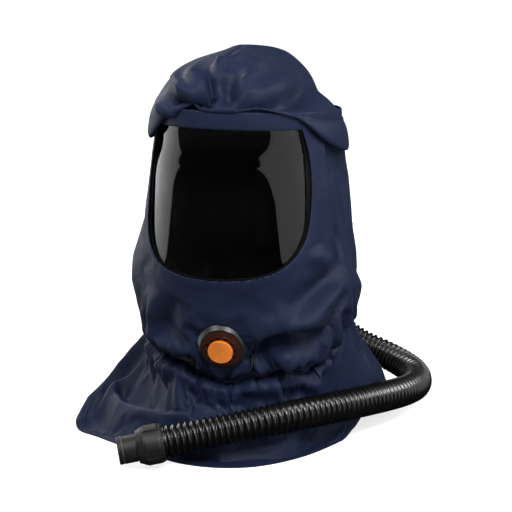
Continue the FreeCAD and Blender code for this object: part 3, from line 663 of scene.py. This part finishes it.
def upsample(points):
    """Finer grid by cubic interpolation; the columns close round."""
    rows, columns = points.shape[:2]
    across = smooth(np.arange(columns), points.swapaxes(0, 1).reshape(columns, -1),
                    np.arange(columns * FINER) / FINER, period=columns)
    wide = across.reshape(-1, rows, 3).swapaxes(0, 1)
    down = smooth(np.arange(rows), wide.reshape(rows, -1),
                  np.arange((rows - 1) * FINER + 1) / FINER)
    return down.reshape(-1, wide.shape[1], 3)


def weighted(obj, name, weights):
    """Vertex group with a weight for each vertex, in steps of a hundredth."""
    group = obj.vertex_groups.new(name=name)
    steps = np.round(weights.ravel() * 100).astype(int)
    for step in np.unique(steps):
        if step > 0:
            group.add([int(i) for i in np.nonzero(steps == step)[0]], step / 100, "REPLACE")
    return name


def relax(points, fullness, pins):
    """Cloth simulation of a closed grid: the cloth is fuller than its place, so it buckles."""
    rows, columns = points.shape[:2]
    flat = points.reshape(-1, 3) * MM
    cloth = new_piece("relaxing", flat, ring_faces(rows, columns), FABRIC)
    modifier = cloth.modifiers.new("cloth", "CLOTH")
    settings = modifier.settings
    settings.quality = 6
    settings.mass = CLOTH_MASS
    settings.air_damping = 2.0
    settings.tension_stiffness = CLOTH_STIFFNESS
    settings.compression_stiffness = CLOTH_STIFFNESS
    settings.shear_stiffness = CLOTH_STIFFNESS * 0.3
    settings.bending_stiffness = CLOTH_BENDING
    settings.tension_damping = 1
    settings.compression_damping = 1
    settings.shear_damping = 1
    settings.bending_damping = 0.1
    settings.vertex_group_mass = weighted(cloth, "pins", pins)
    settings.vertex_group_shrink = weighted(cloth, "tightness", 1 - fullness / fullness.max())
    settings.shrink_max = 0.0
    settings.shrink_min = -float(fullness.max())
    settings.effector_weights.gravity = 0.0
    modifier.collision_settings.use_collision = False
    modifier.point_cache.frame_start = 1
    modifier.point_cache.frame_end = CLOTH_FRAMES
    scene = bpy.context.scene
    for step in range(1, CLOTH_FRAMES + 1):
        scene.frame_set(step)
    graph = bpy.context.evaluated_depsgraph_get()
    settled = cloth.evaluated_get(graph).to_mesh()
    places = np.empty(len(settled.vertices) * 3)
    settled.vertices.foreach_get("co", places)
    bpy.data.objects.remove(cloth)
    scene.frame_set(1)
    return places.reshape(rows, columns, 3) / MM


def to_world(points):
    """Row-frame metres from hood millimetres."""
    return np.asarray(points).reshape(-1, 3) * MM + np.array(AXIS)


def wall_y(x, z):
    """Front of the hood wall over a point of its elevation."""
    level = z
    for _ in range(4):
        half_width, half_depth, rise = wall_sizes(level)
        y = -half_depth * np.sqrt(np.clip(1 - (x / half_width) ** 2, 0.0, 1.0))
        level = z - rise * y
    return y


def trimmed(points, faces):
    """Leave out the faces inside the visor's opening and draw its edge smooth."""
    flat = points.reshape(-1, 3).copy()
    gap = np.where(flat[:, 1] < 0, window_gap(flat[:, 0], flat[:, 2]), 99.0)
    faces = np.array(faces)
    kept = gap[faces].mean(axis=1) > 0
    inner = np.unique(faces[~kept])
    outer = np.unique(faces[kept])
    edge = np.intersect1d(inner, outer)
    x, z = flat[edge, 0], flat[edge, 2]
    before = wall_y(x, z)
    small = 0.2
    for _ in range(4):
        here = window_gap(x, z)
        slope_x = (window_gap(x + small, z) - window_gap(x - small, z)) / (2 * small)
        slope_z = (window_gap(x, z + small) - window_gap(x, z - small)) / (2 * small)
        size = np.maximum(slope_x ** 2 + slope_z ** 2, 0.3)
        x = x - here * slope_x / size
        z = z - here * slope_z / size
    flat[edge, 0] = x
    flat[edge, 2] = z
    flat[edge, 1] += wall_y(x, z) - before
    lift = EDGE_LIFT * np.exp(-(window_gap(flat[:, 0], flat[:, 2]) / EDGE_LIFT_REACH) ** 2)
    half_width, half_depth, _ = wall_sizes(flat[:, 2])
    away = np.stack([flat[:, 0] / half_width ** 2, flat[:, 1] / half_depth ** 2], axis=-1)
    away /= np.linalg.norm(away, axis=-1, keepdims=True)
    flat[:, :2] += away * np.where(flat[:, 1] < 0, lift, 0.0)[:, None]
    return flat, [tuple(face) for face in faces[kept]]


def cloth_piece(name, points, faces, shaded_inside=False):
    """Fabric mesh with thickness from points in hood millimetres."""
    used = np.unique([corner for face in faces for corner in face])
    index = np.full(len(points), -1)
    index[used] = np.arange(len(used))
    faces = [tuple(index[list(face)]) for face in faces]
    piece = new_piece(name, to_world(points[used]), faces, FABRIC)
    solid = piece.modifiers.new("thickness", "SOLIDIFY")
    solid.thickness = FABRIC_THICK
    solid.offset = -1.0
    # the inner faces take the near-black painted shade of the hood's inside
    if shaded_inside:
        piece.data.materials.append(INSIDE_SHADE)
        solid.material_offset = 1
    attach(piece, BODY)
    return piece


# ---------------------------------------------------------------- fabric: hood wall, neck, cape

# Rows of the cage from the brow down to the hem
WALL_ROWS = 84
CASING_ROWS = 5
CAPE_ROWS = 40
HEM_ROWS = 5
WALL_CREASE = 1.5           # scales the outward amounts of WALL_FOLDS
NECK_INSET = 5.0            # how far the elastic draws the neck in
NECK_FULLNESS = 0.12        # extra length of the cloth at the neck, as a share
WALL_FULLNESS = 0.003
CAPE_FULLNESS = 0.004
FULL_BELOW = 190            # level where the wall's fullness starts
ELASTIC_INSET = 2.5
ELASTIC_EDGE = 5.0
CLEAR_OF_FLOOR = 1.3        # the cloth's own thickness and a little more
SEAM_ANGLE = 102.6          # side seams between the front and the back
# Where the cloth is held still: within a radius of the valve and the inlet, and round the visor
VALVE_MIDDLE = (10.0, -122.5, 134.0)
VALVE_HOLD = 28
INLET_MIDDLE = (0.0, 142.0, 225.0)
INLET_HOLD = 29
WINDOW_HOLD = 4
# Pleats at the neck: how many, seed, then spans of length, width and height
WAVES_OF_NECK = (17, 3, (30, 40), (7, 14), (2, 7))
PLEATS_ABOVE = (46, 5, (16, 46), (3.5, 7.5), (3, 9))
PLEATS_BELOW = (46, 9, (16, 46), (3.5, 7.5), (3, 9))
# Folds: (path of (angle, level, outward), width, lean, sharp)
WALL_FOLDS = [
    ([(74, 374, 2), (74, 330, 3), (71, 295, 3.5), (73, 250, 4), (82, 222, 3),
      (90, 200, 0)], 8, 0.3, True),
    ([(80, 360, -3), (79, 300, -5), (81, 255, -5), (92, 225, 0)], 9, 0, False),
    ([(90, 192, 3), (104, 172, 5)], 24, 0, False),
    ([(56, 246, 0), (57, 236, 4), (66, 224, 4), (75, 226, 0)], 11, 0, False),
    ([(80, 214, -3), (66, 205, -7), (52, 192, -7), (40, 180, -4),
      (28, 172, 0)], 12, 0.2, False),
    ([(84, 192, 0), (66, 189, 6), (53, 181, 8), (44, 173, 6), (34, 160, 0)], 9, -0.3, False),
    ([(80, 186, 0), (73, 170, -9), (67, 152, -10), (62, 138, 0)], 9, 0, False),
    ([(14, 150, 0), (22, 165, 7), (34, 174, 8), (50, 169, 6), (60, 160, 0)], 13, 0, False),
    ([(17, 127, -3), (21, 140, -10), (29, 151, -15), (41, 155, -13), (54, 149, -9),
      (62, 140, 0)], 9, 0, False),
    ([(30, 132, 0), (38, 136, 5), (48, 132, 6), (58, 126, 0)], 8, 0, False),
    ([(-8, 194, 0), (-7, 180, 2), (-6, 168, 2.5), (-5.6, 160, 0)], 4, 0.4, True),
    ([(-20, 194, 0), (-23, 178, -4), (-29, 160, -5), (-33, 145, 0)], 12, 0, False),
    ([(-36, 192, 0), (-38, 170, 5), (-40, 150, 4), (-38, 135, 0)], 10, 0, False),
    ([(-46, 150, 3), (-28, 145, 6), (-15, 143, 5), (-7, 141, 0)], 8, 0, False),
    ([(-36, 138, -4), (-25, 132, -9), (-16, 129, -8), (-6, 124, 0)], 7, 0, False),
    ([(-64, 262, 0), (-66, 215, 5), (-62, 188, 5), (-54, 165, 0)], 20, 0, False),
    ([(-80, 352, 0), (-84, 300, -5), (-82, 240, -6), (-88, 200, 0)], 14, 0.2, False),
    ([(-100, 350, 3), (-104, 280, 5), (-98, 220, 4), (-92, 170, 0)], 13, 0, False),
    ([(118, 356, 3), (122, 300, 5), (118, 240, 5), (124, 180, 3), (118, 140, 0)], 12, 0.2, False),
    ([(138, 350, -3), (134, 280, -6), (140, 210, -4), (133, 150, 0)], 12, 0, False),
    ([(152, 344, 2), (156, 290, 5), (149, 262, 3), (140, 240, 0)], 10, 0.2, True),
    ([(-122, 350, -3), (-118, 290, -5), (-126, 230, -5), (-120, 160, 0)], 13, 0, False),
    ([(-142, 352, 3), (-148, 290, 6), (-141, 240, 4), (-150, 170, 4),
      (-144, 135, 0)], 11, 0.2, False),
    ([(176, 330, 3), (170, 295, 4), (160, 275, 0)], 10, 0, False),
    ([(-176, 180, 0), (-166, 165, 6), (-150, 160, 0)], 10, 0, False),
    ([(176, 178, 0), (160, 160, 7), (140, 165, 5), (118, 158, 0)], 11, 0, False),
]
# Folds of the cape: (path of (x, y, upward), width, lean, sharp)
CAPE_FOLDS = [
    ([(-112, -2, 8), (-124, -4, 24), (-138, -6, 34), (-152, -9, 42), (-166, -14, 44),
      (-180, -32, 38), (-188, -52, 30), (-192, -78, 10)], 14, 0, False),
    ([(-166, -62, 14), (-151, -40, 20), (-130, -28, 12)], 10, 0, False),
    ([(-150, -42, 0), (-141, -58, -6), (-132, -66, 0)], 6, 0, False),
    ([(-160, -54, 14), (-135, -86, 28), (-100, -106, 33), (-63, -121, 34), (-24, -127, 30),
      (10, -123, 20), (38, -117, 6)], 12, 0, False),
    ([(119, 5, 16), (128, 30, 34), (136, 58, 36), (145, 85, 26), (152, 108, 14),
      (156, 126, 4)], 16, 0, False),
    ([(92, 74, 4), (112, 120, 26), (122, 148, 34), (128, 166, 6)], 14, 0, False),
    ([(30, 116, 4), (42, 150, 20), (48, 178, 4)], 13, 0, False),
    ([(-30, 114, 4), (-44, 152, 24), (-54, 180, 4)], 13, 0, False),
    ([(-84, 84, 6), (-112, 118, 30), (-134, 144, 6)], 15, 0, False),
    ([(-106, 40, 4), (-146, 56, 22), (-174, 62, 6)], 13, 0, False),
]


def pleats(angle, distance, count, seed, lengths, widths, heights):
    """Pleats that start at the gathered neck and fade out with distance along the cloth."""
    rng = np.random.default_rng(seed)
    total = np.zeros(distance.shape)
    for step in range(count):
        middle = (step + rng.uniform(-0.4, 0.4)) * ROUND / count
        length = rng.uniform(*lengths)
        width = rng.uniform(*widths)
        height = rng.uniform(*heights)
        slant = rng.uniform(-0.55, 0.55)
        across = np.mod(angle - middle + ROUND / 2, ROUND) - ROUND / 2
        across = across * MM_PER_DEGREE - slant * distance
        share = np.clip(distance / length, 0, 1)
        rise = np.sin(math.pi * share ** 0.55) ** 0.8
        spread = width * (1 + share)
        total = np.maximum(total, height * rise * np.exp(-(across / spread) ** 2))
    return total


def gather(start, angle, distance, above):
    """Bulging puckers on one side of the neck: outwards, and down or up over the crease."""
    side = 1.0 if above else -1.0
    rise = pleats(angle, distance, *(PLEATS_ABOVE if above else PLEATS_BELOW))
    bulge = 3.0 * np.exp(-((distance - 12) / 9) ** 2)
    crease = -NECK_INSET * np.exp(-(distance / 4.5) ** 2)
    start += outward(start) * (rise + bulge + crease)[..., None]
    start[..., 2] -= side * 0.45 * rise * np.exp(-distance / 12)


def body_grid():
    """Start shape of the cloth from the brow to the hem, its fullness and its pins."""
    angle = np.linspace(-180, 180, COLUMNS, endpoint=False)
    neck = neck_level(angle) + pleats(angle, np.full(COLUMNS, 10.0), *WAVES_OF_NECK) - 2
    turn, part = np.meshgrid(angle, np.linspace(0, 1, WALL_ROWS))
    level = WALL_TOP + (neck - WALL_TOP) * part * (1.35 - 0.35 * part)
    wall = wall_points(turn, level)
    folds = WALL_CREASE * push(turn, level, WALL_FOLDS, (MM_PER_DEGREE, 1.0), ROUND)
    wall += outward(wall) * folds[..., None]
    gather(wall, turn, level - neck, True)
    casing = np.repeat(wall[-1:], CASING_ROWS, axis=0)
    casing[..., 2] -= (np.arange(CASING_ROWS) + 1)[:, None] * CASING_DEPTH / CASING_ROWS
    turn_low, share = np.meshgrid(angle, np.linspace(0, 1, CAPE_ROWS + 1)[1:])
    cape = cape_points(turn_low, share)
    cape[..., 2] += push(cape[..., 0], cape[..., 1], CAPE_FOLDS)
    steps = np.linalg.norm(np.diff(np.concatenate([casing[-1:], cape]), axis=0), axis=-1)
    gather(cape, turn_low, np.cumsum(steps, axis=0), False)
    start = np.concatenate([wall, casing, cape])
    slack = np.clip((FULL_BELOW - level) / (FULL_BELOW - neck), 0, 1)
    fullness = np.concatenate([
        WALL_FULLNESS + NECK_FULLNESS * slack ** 1.5,
        np.full((CASING_ROWS, COLUMNS), NECK_FULLNESS),
        NECK_FULLNESS * (1 - share) ** 2 + CAPE_FULLNESS,
    ])
    pins = np.zeros(start.shape[:2])
    pins[:3] = 1
    pins[-HEM_ROWS:] = 1
    pins[WALL_ROWS + 1:WALL_ROWS + CASING_ROWS - 1] = 1
    front = start[..., 1] < 0
    pins[front & (window_gap(start[..., 0], start[..., 2]) < WINDOW_HOLD)] = 1
    pins[np.linalg.norm(start - np.array(VALVE_MIDDLE), axis=-1) < VALVE_HOLD] = 1
    pins[np.linalg.norm(start - np.array(INLET_MIDDLE), axis=-1) < INLET_HOLD] = 1
    return start, fullness, pins


def block(rows, columns, row_from, row_to, column_from, column_to):
    """Faces of part of a grid that closes round its columns."""
    faces = []
    for row in range(row_from, row_to):
        for column in range(column_from, column_to):
            left, right = column % columns, (column + 1) % columns
            faces.append((row * columns + left, (row + 1) * columns + left,
                          (row + 1) * columns + right, row * columns + right))
    return faces


def make_elastic():
    """Elastic strip inside the casing."""
    angle = np.linspace(-180, 180, COLUMNS, endpoint=False)
    ring = wall_points(angle, neck_level(angle), -NECK_INSET - ELASTIC_INSET)
    drops = np.linspace(-ELASTIC_EDGE, ELASTIC_EDGE, 4) + CASING_DEPTH / 2
    rows = np.stack([ring - (0, 0, drop) for drop in drops])
    faces = block(len(rows), COLUMNS, 0, len(rows) - 1, 0, COLUMNS)
    piece = new_piece("neck_elastic_strip", to_world(rows), faces, ELASTIC)
    solid = piece.modifiers.new("thickness", "SOLIDIFY")
    solid.thickness = FABRIC_THICK
    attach(piece, BODY)
    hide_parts("neck_elastic")


def make_body():
    """Hood wall, neck and cape: one cloth, settled once and then cut into its panels."""
    start, fullness, pins = body_grid()
    cloth = start
    cloth = relax(start, fullness, pins)
    cloth[..., 2] = np.maximum(cloth[..., 2], CLEAR_OF_FLOOR)
    fine = upsample(cloth)
    rows, columns = fine.shape[:2]
    middle_column = columns // 2
    seam = int(round(SEAM_ANGLE / ROUND * columns))
    left, right = middle_column - seam, middle_column + seam
    neck = FINER * (WALL_ROWS - 1)
    cape = FINER * (WALL_ROWS + CASING_ROWS - 1)
    hem = rows - 1 - FINER * HEM_ROWS
    make_elastic()
    # First and last row, first and last column, flat size and area, and what holds the sheet
    parts = {
        "face_panel": (0, neck, left, right, (0.53, 0.30), 0.110, ["brow_band_cloth"]),
        "back_panel": (0, neck, right, left + columns, (0.35, 0.30), 0.090,
                       ["brow_band_cloth"]),
        "neck_casing": (neck, cape, 0, columns, (0.80, 0.011), None,
                        ["face_panel_cloth", "back_panel_cloth"]),
        "cape_front": (cape, hem, left, right, (0.52, 0.15), 0.060, ["neck_casing_cloth"]),
        "cape_back": (cape, hem, right, left + columns, (0.42, 0.15), 0.050,
                      ["neck_casing_cloth"]),
        "cape_hem": (hem, rows - 1, 0, columns, (1.10, 0.012), None,
                     ["cape_front_cloth", "cape_back_cloth"]),
    }
    for node, (top, bottom, first, last, size, area, holder) in parts.items():
        faces = block(rows, columns, top, bottom, first, last)
        points = fine.reshape(-1, 3)
        if node == "face_panel":
            points, faces = trimmed(fine, faces)
        # the wall panels get the painted shade on their inner faces
        shaded_inside = node in ("face_panel", "back_panel")
        piece = cloth_piece(node + "_cloth", points, faces, shaded_inside)
        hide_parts(node)


# ---------------------------------------------------------------- fabric: crown and brow band

CROWN_ROWS = 44
BAND_FOOT = 370.0
BAND_SIZE = (105.0, 139.0)  # half width and half depth
APEX = (-16.0, 10.0, 457.5)
# For each angle: places from the band outwards, up and over, as (share of the band, height)
CROWN_ANGLES = [-180, -140, -100, -70, -45, -22, 0, 25, 50, 75, 100, 125, 150]
CROWN_CAGE = [
    [(1.00, 372), (1.05, 352), (1.08, 360), (1.07, 384), (1.00, 408), (0.82, 432), (0.50, 450)],
    [(1.00, 374), (1.05, 352), (1.09, 362), (1.07, 386), (0.97, 410), (0.78, 434), (0.45, 452)],
    [(1.00, 376), (1.03, 355), (1.05, 364), (1.00, 388), (0.89, 414), (0.70, 437), (0.33, 451)],
    [(1.00, 377), (1.04, 354), (1.07, 362), (1.01, 386), (0.90, 413), (0.70, 437), (0.34, 451)],
    [(1.01, 386), (1.04, 370), (1.07, 378), (1.05, 397), (0.92, 418), (0.72, 439), (0.38, 451)],
    [(1.01, 401), (1.03, 402), (1.04, 406), (1.01, 416), (0.90, 428), (0.73, 442), (0.43, 451)],
    [(1.01, 402), (1.02, 403), (1.02, 407), (0.98, 416), (0.88, 428), (0.72, 441), (0.44, 451)],
    [(1.01, 401), (1.02, 402), (1.02, 406), (0.97, 416), (0.86, 428), (0.66, 440), (0.38, 450)],
    [(1.01, 396), (1.03, 393), (1.05, 398), (0.96, 409), (0.75, 423), (0.49, 437), (0.29, 449)],
    [(1.00, 380), (1.05, 358), (1.08, 364), (1.01, 384), (0.76, 405), (0.47, 428), (0.26, 446)],
    [(1.00, 374), (1.05, 340), (1.08, 346), (1.02, 370), (0.79, 397), (0.49, 424), (0.26, 446)],
    [(1.00, 370), (1.05, 336), (1.07, 343), (1.02, 368), (0.83, 396), (0.57, 424), (0.30, 447)],
    [(1.00, 371), (1.05, 344), (1.08, 352), (1.05, 376), (0.92, 402), (0.71, 428), (0.41, 449)],
]
# Folds of the crown's front, then of its back: (path of (x, z, outward), width, lean, sharp)
CROWN_FRONT = [
    ([(1, 420, -4), (-3, 428, -4), (-8, 436, -3.5), (-15, 446, -1)], 3.5, 0, True),
    ([(6, 424, 0), (3, 434, 3), (-6, 445, 3.5), (4, 447, 0)], 6, 0, False),
    ([(0, 416, -5), (2, 420, -6), (1, 424, -4)], 7, 0, False),
    ([(-42, 444, 0), (-30, 436, 4), (-14, 428, 4), (-4, 421, 2), (1, 413, 0)], 6, 0, False),
    ([(-58, 420, 0), (-38, 411, -7), (-20, 407, -9), (-4, 413, -5), (0, 418, 0)], 7, 0.2, False),
    ([(-66, 436, 0), (-50, 428, 5), (-34, 421, 6), (-16, 418, 3), (-4, 419, 0)], 8, 0, False),
    ([(-80, 408, 0), (-60, 402, 4), (-38, 399, 4), (-16, 400, 3), (0, 405, 0)], 7, 0, False),
    ([(14, 438, 0), (15, 432, -5), (22, 418, -6), (22, 408, 0)], 9, 0, False),
    ([(22, 442, 0), (29, 432, 4), (37, 419, 4.5), (34, 406, 0)], 8, 0, False),
    ([(-14, 446, 1), (0, 447, 3), (16, 445, 3), (46, 440, 3), (60, 437, 0)], 4, 0, True),
    ([(30, 405, 0), (50, 407, -4), (68, 412, -8), (88, 410, -7), (101, 399, -4),
      (104, 384, -1)], 8, 0.2, False),
    ([(40, 420, 0), (62, 428, 4), (84, 424, 5), (100, 408, 3), (112, 392, 1)], 11, 0, False),
    ([(58, 436, 0), (76, 430, -3), (92, 418, -2), (100, 412, 0)], 7, 0, False),
    ([(-7, 447, 0), (-9, 452, -2.5), (-12, 456, 0)], 3, 0, True),
]
CROWN_BACK = [
    ([(-60, 440, 0), (-40, 424, 5), (-28, 400, 6), (-30, 376, 0)], 12, 0, False),
    ([(-20, 446, 0), (-10, 424, -5), (-12, 396, -6), (-6, 370, 0)], 12, 0.2, False),
    ([(10, 446, 0), (18, 424, 4), (24, 396, 6), (20, 370, 0)], 11, 0, False),
    ([(70, 436, 0), (60, 414, -5), (58, 390, -6), (66, 364, 0)], 12, 0, False),
    ([(100, 414, 3), (92, 396, 5), (96, 372, 0)], 10, 0, False),
    ([(-104, 408, 0), (-92, 392, -5), (-88, 372, 0)], 10, 0, False),
]
CROWN_CREASE = 2.1          # scales the outward amounts of CROWN_FRONT
CROWN_MEET = 25.0           # the front's folds fade into the back's over this depth
CROWN_SHARE = 0.97          # the last row stops short of the apex, and a fan closes it


def crown_points(angle, share):
    """Crown from the band, share 0, to the apex, share 1."""
    cage = np.array(CROWN_CAGE, float)
    columns = angle.shape[1]
    rows = smooth(CROWN_ANGLES, cage.reshape(len(cage), -1), angle[0], period=ROUND)
    rows = rows.reshape(columns, -1, 2)
    x = rows[..., 0] * BAND_SIZE[0] * sideways(angle[0])[:, None]
    y = rows[..., 0] * BAND_SIZE[1] * forwards(angle[0])[:, None]
    keys = np.stack([x, y, rows[..., 1]], axis=-1)
    apex = np.broadcast_to(np.array(APEX), (columns, 1, 3))
    keys = np.concatenate([keys, apex], axis=1).swapaxes(0, 1)
    at = share[:, 0] * (len(keys) - 1)
    points = smooth(np.arange(len(keys)), keys.reshape(len(keys), -1), at)
    return points.reshape(len(at), columns, 3)


def make_crown():
    """Crown: two halves of one folded surface, with the seam between them."""
    angle = np.linspace(-180, 180, COLUMNS, endpoint=False)
    turn, share = np.meshgrid(angle, np.linspace(CROWN_SHARE, 0, CROWN_ROWS))
    fine = upsample(crown_points(turn, share))
    back = 0.5 + 0.5 * np.tanh(fine[..., 1] / CROWN_MEET)
    rise = push(fine[..., 0], fine[..., 2], CROWN_FRONT) * (1 - back) * CROWN_CREASE
    rise += push(fine[..., 0], fine[..., 2], CROWN_BACK) * back
    fine += outward(fine) * rise[..., None]
    rows, columns = fine.shape[:2]
    half = columns // 2
    for node, first, last in (("crown_left", 0, half), ("crown_right", half, columns)):
        faces = block(rows, columns, 0, rows - 1, first, last)
        points = fine.reshape(-1, 3)
        centre = len(points)
        points = np.vstack([points, points[:columns].mean(axis=0) + (0, 0, 0.3)])
        faces += [(column, (column + 1) % columns, centre) for column in range(first, last)]
        piece = cloth_piece(node + "_cloth", points, faces)
        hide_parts(node)


# Section of the brow band: out from the wall, up from its foot
BAND_PROFILE = [
    (-1.0, 0), (1.6, -0.6), (2.6, 0.8), (2.9, 5), (3.0, 10), (2.7, 15), (2.2, 18.5), (0.2, 19.5),
]
BAND_ROWS = 30


def make_band():
    """Brow band: a folded strip, a little fuller in the middle, over the visor's top edge."""
    angle = np.linspace(-180, 180, FINER * COLUMNS, endpoint=False)
    profile = smooth(np.arange(len(BAND_PROFILE)), np.array(BAND_PROFILE, float),
                     np.linspace(0, len(BAND_PROFILE) - 1, BAND_ROWS))
    rows = []
    for out, up in profile:
        row = wall_points(angle, np.full(len(angle), BAND_FOOT), out)
        row[:, 2] += up
        rows.append(row)
    points = np.array(rows[::-1])
    faces = block(len(rows), len(angle), 0, len(rows) - 1, 0, len(angle))
    piece = cloth_piece("brow_band_cloth", points.reshape(-1, 3), faces)
    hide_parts("brow_band")


make_body()
make_band()
make_crown()
